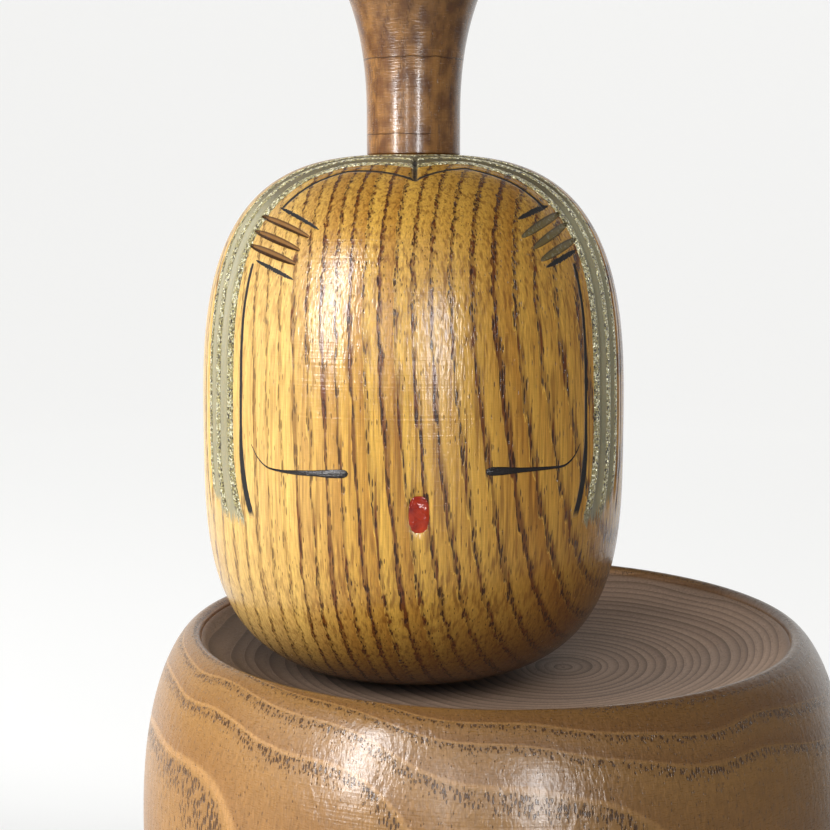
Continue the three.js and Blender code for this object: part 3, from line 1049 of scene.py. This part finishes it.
def paint_topknot():
    finish = Finish("stained_keyaki_topknot")
    point = finish.millimetres((HEAD_X, HEAD_Y, KNOT_BASE_Z))
    x, y, z = finish.split(point)
    tree = Timber(finish, point, trunk_years(finish, point, KNOT_PITH, KNOT_RING, 2.0), 0.3, 6.0, 9.1)
    cloud = finish.noise(finish.stretch(point, (0.5, 0.5, 0.3)), 1.0, 3.0)
    waver = (cloud - 0.5) * 0.5
    short = band(z - SHORT_LINE_Z + waver, 0.02, 0.1) * ease(x, 4.0, 2.0)
    lines = larger(band(z - LONG_LINE_Z + waver, 0.03, 0.12), short)

    colour = finish.mix(ease(cloud, 0.3, 0.7), KNOT_LIGHT, KNOT_DEEP)
    colour = finish.mix(tree.row * 0.12, colour, STAIN_RING)
    colour = finish.tint(colour, (0.6 + 0.6 * tree.fibre + 0.2 * tree.streak + 0.1 * tree.ray) * tree.shade)
    colour = finish.mix(larger(tree.vessels * 0.35, lines * 0.6), colour, KNOT_MARK)

    cut = finish.noise(finish.stretch(point, (0.8, 0.8, 5.0)), 1.0, 2.0)
    height = tree.vessels * -0.02 + tree.tool * 0.03 + cut * 0.07 - lines * 0.1
    return finish.surface(colour, 0.2 + 0.1 * tree.ray, height, 0.0, **KNOT_VARNISH)


topknot.data.materials.append(paint_topknot())
print("topknot finish:", len(topknot.data.materials[0].node_tree.nodes), "nodes")

# %% [markdown]
# ## Lacquers and the dowel
# Brushed lacquer is never quite even: the black pulls into streaks along the stroke, and the red is clouded,
# with painted shade towards the upper left of the mouth and painted light towards its lower right. Both are
# very glossy. The dowel inside stays bare, pale wood.

# %% Finish the small pieces
BLACK_DEEP = (0.006, 0.005, 0.005)
BLACK_STREAK = (0.028, 0.022, 0.020)
RED_LIT = (0.55, 0.045, 0.008)
RED_SHADED = (0.17, 0.008, 0.005)
DOWEL_DEEP = (0.50, 0.34, 0.18)
DOWEL_LIGHT = (0.66, 0.49, 0.29)


def paint_black():
    finish = Finish("black_lacquer")
    point = finish.millimetres((HEAD_X, HEAD_Y, EQUATOR_Z))
    streak = finish.noise(finish.stretch(point, (0.9, 0.9, 6.0)), 1.0, 3.0)
    colour = finish.mix(streak, BLACK_DEEP, BLACK_STREAK)
    return finish.surface(colour, 0.12 + 0.2 * streak, streak * 0.12, 0.0, **{"IOR": 1.52})


def paint_red():
    finish = Finish("red_lacquer")
    point = finish.millimetres((HEAD_X + MOUTH_X, HEAD_Y, EQUATOR_Z + POOL_Z))
    x, y, z = finish.split(point)
    cloud = finish.noise(point, 0.7, 2.0)
    # Painted shade towards the upper left and painted light towards the lower right, with random clouds.
    deep = clamp(0.45 - x * 0.22 + z * 0.1 + (cloud - 0.5) * 1.2)
    colour = finish.mix(deep, RED_LIT, RED_SHADED)
    return finish.surface(colour, 0.06 + 0.1 * cloud, cloud * 0.25, 0.0, **{"IOR": 1.52})


def paint_dowel():
    finish = Finish("plain_dowel")
    point = finish.millimetres((HEAD_X, HEAD_Y, 0))
    fibre = finish.noise(finish.stretch(point, (2.5, 2.5, 0.15)), 1.0, 3.0)
    colour = finish.mix(fibre, DOWEL_DEEP, DOWEL_LIGHT)
    return finish.surface(colour, 0.7 - 0.1 * fibre, fibre * 0.05)


black = paint_black()
for eye in (left_eye, right_eye):
    eye.data.materials.append(black)
mouth.data.materials.append(paint_red())
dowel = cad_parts["neck_dowel"]
dowel.data.materials.clear()
dowel.data.materials.append(paint_dowel())

# %% [markdown]
# ## The room and its light
# The doll stands in a light tent, a bowl of pale cloth that glows by itself: brightly behind the doll,
# faintly in front and to the right, where the room outside is dim. The lamps share two jobs. A large soft
# window to the left and a fill above the front give the form its shading and leave no glint. Three narrow
# strips do the opposite: they only leave the slim upright glints that a glossy turned surface shows. All
# are kept out of the camera's sight, so that no other view meets them.

# %% Build the tent
FLOOR_RADIUS = 1100
WALL_BEND = 500
WALL_TOP = 1500
CLOTH = (0.32, 0.32, 0.32)
GLOW_BEHIND = (0.68, 0.68, 0.67)
GLOW_FRONT = (0.03, 0.03, 0.03)


def build_tent():
    profile = [(0, 0), (FLOOR_RADIUS, 0)]
    profile += [*arc(FLOOR_RADIUS, WALL_BEND, WALL_BEND, -90, 0, 24)][1:]
    profile += [(FLOOR_RADIUS + WALL_BEND, WALL_TOP)]
    tent = turn("tent", profile, stretches=((360, 96),))
    finish = Finish("glowing_cloth")
    x, y, z = finish.split(finish.millimetres((0, 0, 0)))
    behind = (y + 60.0) / (x * x + y * y + 90000.0) ** 0.5
    glow = finish.mix(ease(behind, 0.4, 0.8), GLOW_FRONT, GLOW_BEHIND)
    light = {"Emission Color": glow, "Emission Strength": 1.0}
    tent.data.materials.append(finish.surface((*CLOTH, 1), 0.9, **light))


build_tent()

# %% Hang the lamps
def place_light(name, azimuth, elevation, distance, width, height, power, glints):
    """An area light aimed at the head, `azimuth` degrees round from the front to the viewer's right."""
    lamp = bpy.data.lights.new(name, "AREA")
    lamp.shape = "RECTANGLE"
    lamp.size = width * MM
    lamp.size_y = height * MM
    lamp.energy = power
    light = bpy.data.objects.new(name, lamp)
    turned, raised = math.radians(azimuth), math.radians(elevation)
    level = Vector((math.sin(turned), -math.cos(turned), 0))
    direction = level * math.cos(raised) + Vector((0, 0, math.sin(raised)))
    target = Vector((HEAD_X, HEAD_Y, EQUATOR_Z)) * MM
    light.location = target + direction * distance * MM
    light.rotation_mode = "QUATERNION"
    light.rotation_quaternion = direction.to_track_quat("Z", "Y")
    light.visible_camera = False
    light.visible_glossy = glints
    light.visible_diffuse = not glints
    bpy.context.scene.collection.objects.link(light)


place_light("window", -78, 18, 900, 700, 700, 13.5, glints=False)
place_light("strip_left", -45, 21, 900, 44, 560, 9.0, glints=True)
place_light("strip_middle", -16, 11, 900, 26, 380, 1.2, glints=True)
place_light("strip_right", 12, 10, 900, 30, 380, 3.6, glints=True)
place_light("fill", -4, 38, 1000, 900, 500, 6.5, glints=False)

SKY = (0.95, 0.97, 1.0)
SKY_STRENGTH = 0.08
world = bpy.data.worlds.new("pale_room")
world.use_nodes = True
sky = world.node_tree.nodes["Background"]
sky.inputs["Color"].default_value = (*SKY, 1)
sky.inputs["Strength"].default_value = SKY_STRENGTH
bpy.context.scene.world = world
print(len(bpy.data.lights), "lamps and a tent")
